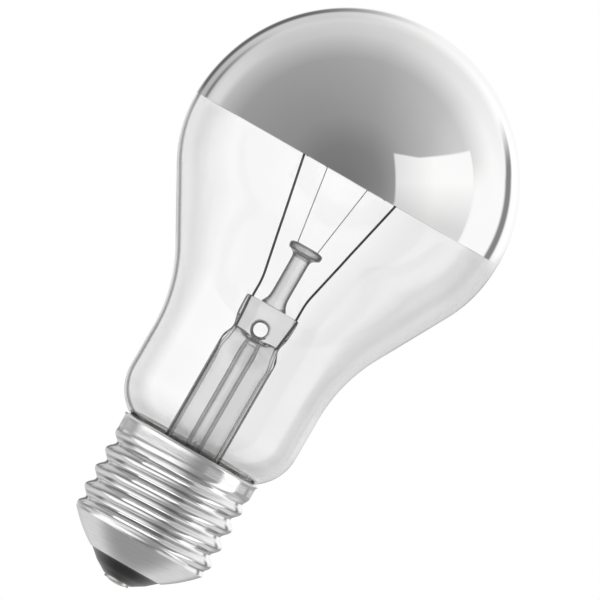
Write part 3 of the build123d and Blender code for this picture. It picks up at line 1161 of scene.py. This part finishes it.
def crown_walls(tree, way):
    """Walls round the crown: white behind it, darker in front, lighter to the right."""
    walls = ramp(tree, calc(tree, "DIVIDE", way.from_back, 180.0), [
        (0.0, 1.05), (0.19, 1.0), (0.27, 0.76), (0.36, 0.70), (0.5, 0.44), (0.75, 0.355), (0.87, 0.25),
        (1.0, 0.212)])
    lean = ramp(tree, calc(tree, "MULTIPLY_ADD", way.right, 0.5, 0.5), [
        (0.0, 0.40), (0.35, 0.435), (0.5, 0.46), (0.65, 0.50), (0.8, 0.60), (0.9, 0.68), (1.0, 0.84)])
    return times(tree, times(tree, walls, lean), 2.0)


def crown_boxes(tree, way, light):
    """Soft boxes to the right of the crown, and the dark post behind them."""
    fading = below(tree, way.height, 3.0, 8.0)
    light = lay(tree, light, 1.07, band(tree, way.swing, 92.0, 150.0, 6.0), fading)
    sloped = calc(tree, "SUBTRACT", 24.0, times(tree, way.swing, 0.2))
    box_top = calc(tree, "MAXIMUM", sloped, 13.9)
    under_top = below(tree, calc(tree, "SUBTRACT", way.height, box_top), 0.0, 0.7)
    box = ramp(tree, calc(tree, "DIVIDE", way.swing, 180.0), [(0.18, 0.84), (0.34, 1.07), (0.52, 1.07)])
    rise = calc(tree, "MULTIPLY_ADD", way.height, 1 / 60, 0.5)
    foot = ramp(tree, rise, [(0.1, 0.72), (0.3, 0.88), (0.48, 1.0)])
    box = times(tree, box, foot)
    light = lay(tree, light, box, band(tree, way.swing, 33.0, 94.0, 0.8), under_top)
    bow = times(tree, calc(tree, "MAXIMUM", way.height, 0.0), 0.5)
    post = band(tree, calc(tree, "SUBTRACT", way.swing, bow), 132.0, 142.5, 2.5)
    return lay(tree, light, 0.26, post, below(tree, way.height, 9.0, 6.0))


def crown_rings(tree, way, light):
    """Light and dark rings behind the crown, which its left edge mirrors."""
    far_left = below(tree, way.side, -0.62, 0.28)
    upper_left = below(tree, way.side, 0.2, 0.35)
    light = lay(tree, light, 0.66, below(tree, way.from_back, 44.0, 5.0), upper_left)
    light = lay(tree, light, 0.78, band(tree, way.from_back, 48.0, 64.0, 5.0), far_left)
    light = lay(tree, light, 0.5, band(tree, way.from_back, 27.0, 44.0, 4.0), far_left)
    light = lay(tree, light, 0.2, band(tree, way.from_back, 37.5, 43.0, 2.5), far_left)
    dark_ring = band(tree, way.from_back, 14.0, 27.0, 3.5)
    light = lay(tree, light, 0.14, dark_ring, below(tree, way.side, 0.15, 0.45))
    return lay(tree, light, 1.0, below(tree, way.from_back, 10.0, 3.0), upper_left)


def cap_room(tree, way):
    """What the cap mirrors below the level: bright left wall, bright strip on the right, grey floor."""
    room = ramp(tree, calc(tree, "MULTIPLY_ADD", way.round_axis, 1 / 360, 0.5), [
        (0.0, 0.66), (0.08, 0.62), (0.15, 0.40), (0.205, 0.40), (0.25, 1.2), (0.44, 1.25), (0.49, 0.95),
        (0.54, 0.45), (0.57, 0.33), (0.66, 0.33), (0.685, 0.5)])
    room = lay(tree, room, 1.55, band(tree, way.round_axis, 66.0, 101.0, 3.0))
    room = lay(tree, room, 0.42, above(tree, way.round_axis, 108.0, 5.0))
    room = lay(tree, room, 0.74, below(tree, way.z, -0.34, 0.12), above(tree, way.back, 0.15, 0.2))
    return lay(tree, room, 0.34, below(tree, way.z, -0.84, 0.14))


def glass_room(tree, way):
    """What the glass lets through: white behind it, with dark sides that draw its edges."""
    turned = calc(tree, "DIVIDE", way.from_back, 180.0)
    left = ramp(tree, turned, [
        (0.0, 1.0), (0.2, 1.0), (0.28, 0.2), (0.365, 0.2), (0.42, 0.9), (0.5, 0.9), (0.6, 0.6)])
    right = ramp(tree, turned, [(0.0, 1.0), (0.2, 1.0), (0.28, 0.2), (0.4, 0.2), (0.47, 1.0)])
    through = blend(tree, above(tree, way.x, -0.05, 0.15), left, right)
    grey_card = blend(tree, above(tree, way.x, 0.0065, 0.0045), 1.0, 0.87)
    return times(tree, through, grey_card)


def set_studio(right, up):
    """White room for the eye; soft boxes and grey walls for what the metal and glass mirror."""
    world = bpy.data.worlds.new("studio")
    bpy.context.scene.world = world
    world.use_nodes = True
    tree = world.node_tree
    way = Ways(tree, right, up)
    light = crown_rings(tree, way, crown_boxes(tree, way, crown_walls(tree, way)))
    light = lay(tree, light, cap_room(tree, way), below(tree, way.z, 0.0, 0.04))
    path = node(tree, "ShaderNodeLightPath")
    light = lay(tree, light, glass_room(tree, way), path.outputs["Is Transmission Ray"])
    light = lay(tree, light, 1.0, path.outputs["Is Camera Ray"])
    feed(tree, tree.nodes["Background"], {"Strength": light, "Color": (1, 1, 1, 1)})


def set_cap_lamp(cap):
    """Soft lamp over the front of the cap, for the upper flanks of its thread alone."""
    data = bpy.data.lights.new("cap_lamp", "AREA")
    data.shape = "RECTANGLE"
    data.size, data.size_y = 300 * MM, 200 * MM
    data.energy = 0.22
    lamp = bpy.data.objects.new("cap_lamp", data)
    bpy.context.scene.collection.objects.link(lamp)
    spot = Vector((-70, -150, 190)) * MM
    aim = Vector((0, 0, 16)) * MM
    lamp.matrix_world = Matrix.Translation(spot) @ (spot - aim).to_track_quat("Z", "Y").to_matrix().to_4x4()
    lit = bpy.data.collections.new("lit_by_cap_lamp")
    lit.objects.link(cap)
    lamp.light_linking.receiver_collection = lit
    lamp.visible_camera = False
    lamp.visible_transmission = False


scene = bpy.context.scene
scene.view_settings.view_transform = "Standard"
scene.cycles.max_bounces = 40  # the stem is seen through many layers of glass
scene.cycles.transmission_bounces = 40
scene.cycles.glossy_bounces = 12
right, up = set_camera()
set_studio(right, up)

dress(make_glass(), bulb_glass_finish(), "clear_glass", "glass_envelope")
dress(make_mirror(), mirror_finish(), "silver_mirror", "crown_mirror")

cap = make_cap_shell()
dress(cap, aluminium_finish(), "cap_aluminium", "cap_shell")
set_cap_lamp(cap)
dress(make_insulator(), black_glass_finish(), "black_glass", "cap_insulator")
tin = grained_finish("tinned_contact", (0.48, 0.47, 0.45), (0.64, 0.63, 0.61), (0.25, 0.4))
solder = grained_finish("soft_solder", (0.42, 0.42, 0.43), (0.62, 0.62, 0.63), (0.28, 0.42))
dress(make_contact_plate(), tin, "contact_metal", "contact_plate")
dress(make_contact_solder(), solder, "solder", "contact_solder")
dress(make_side_solder(), solder, "solder", "side_solder")

dress(make_stem(), tube_glass_finish(), "stem_glass", "stem_flare")
dress(make_rod(), rod_glass_finish(), "stem_glass", "glass_rod")
dress(make_exhaust(), exhaust_glass_finish(), "stem_glass", "exhaust_tube")

nickel = grained_finish("drawn_nickel", (0.012, 0.012, 0.012), (0.035, 0.035, 0.035), (0.4, 0.55))
copper_clad = grained_finish("fused_copper_clad", (0.03, 0.024, 0.022), (0.07, 0.05, 0.042), (0.4, 0.55))
tinned_copper = grained_finish("tinned_copper_wire", (0.66, 0.64, 0.62), (0.82, 0.80, 0.78), (0.25, 0.4))
grey_wire = grained_finish("support_wire", (0.25, 0.25, 0.26), (0.40, 0.40, 0.41), (0.3, 0.45))
tungsten = grained_finish("tungsten_coil", (0.20, 0.20, 0.21), (0.36, 0.36, 0.37), (0.35, 0.5))
for side in (-1, 1):
    dress(make_inner_lead(side), nickel, "lead_wire", side_name(side) + "_inner_lead")
    dress(make_seal_wire(side), copper_clad, "seal_wire", side_name(side) + "_seal_wire")
    dress(make_support(side), grey_wire, "support_wire", side_name(side) + "_support_wire")
dress(make_contact_lead(), tinned_copper, "outer_lead", "contact_lead")
dress(make_shell_lead(), tinned_copper, "outer_lead", "shell_lead")
dress(make_filament(), tungsten, "tungsten", "filament")

cement = grained_finish("pale_cement", (0.72, 0.69, 0.63), (0.86, 0.83, 0.78), (0.75, 0.9), metallic=0.0)
cement_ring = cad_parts["cap_cement"]
cement_ring.data.materials.clear()
cement_ring.data.materials.append(cement)

fresh()
